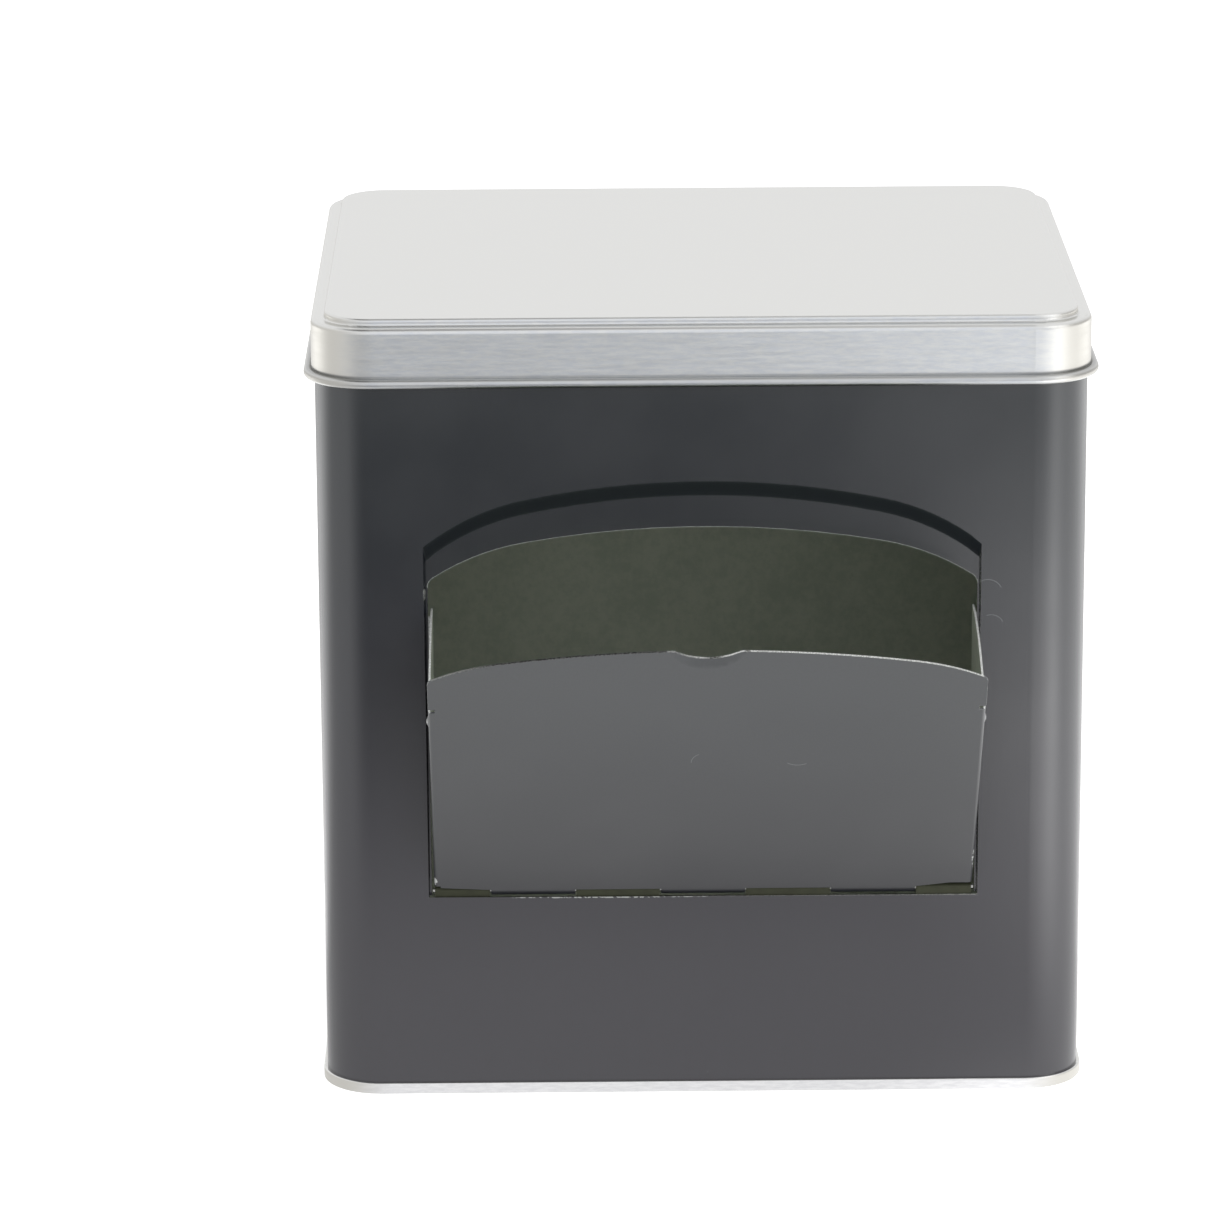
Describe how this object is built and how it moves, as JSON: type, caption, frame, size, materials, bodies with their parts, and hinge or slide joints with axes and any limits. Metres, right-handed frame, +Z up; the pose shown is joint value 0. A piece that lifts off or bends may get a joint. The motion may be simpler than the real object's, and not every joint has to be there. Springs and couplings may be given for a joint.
{
  "type": "storage canister",
  "caption": "Rectangular painted tinplate storage canister with rounded corners, a bare metal slip lid and a tilt-out front hatch shown open.",
  "frame": {"origin": "under the middle of the canister's base, on the plane that the base seam stands on", "axes": "+Z up, hatch in the front wall towards -Y, +X to the right seen from the front"},
  "size_m": [0.1954, 0.2168, 0.199],
  "materials": {
    "dark_paint": "satin charcoal enamel on tinplate",
    "bare_tinplate": "bright tinplate, softly mottled",
    "olive_lacquer": "clear lacquer over tinplate, olive",
    "wire": "drawn wire",
    "compound": "dried lining compound"
  },
  "bodies": {
    "canister": {"body_wall": "dark_paint", "base_plate": "bare_tinplate", "seam_compound": "compound", "hinge_leaf": "olive_lacquer", "hinge_pin": "wire"},
    "hatch": {"hatch_door": "dark_paint"},
    "lid": {"lid": "bare_tinplate"}
  },
  "joints": [
    {"name": "hatch_tilt", "type": "hinge", "parent": "canister", "child": "hatch", "pos_m": [0, -0.07835, 0.053], "axis": [1, 0, 0], "range_deg": [-35, 0]},
    {"name": "lid_lift", "type": "slide", "parent": "canister", "child": "lid", "axis": [0, 0, 1], "range_m": [0, 0.06]}
  ]
}
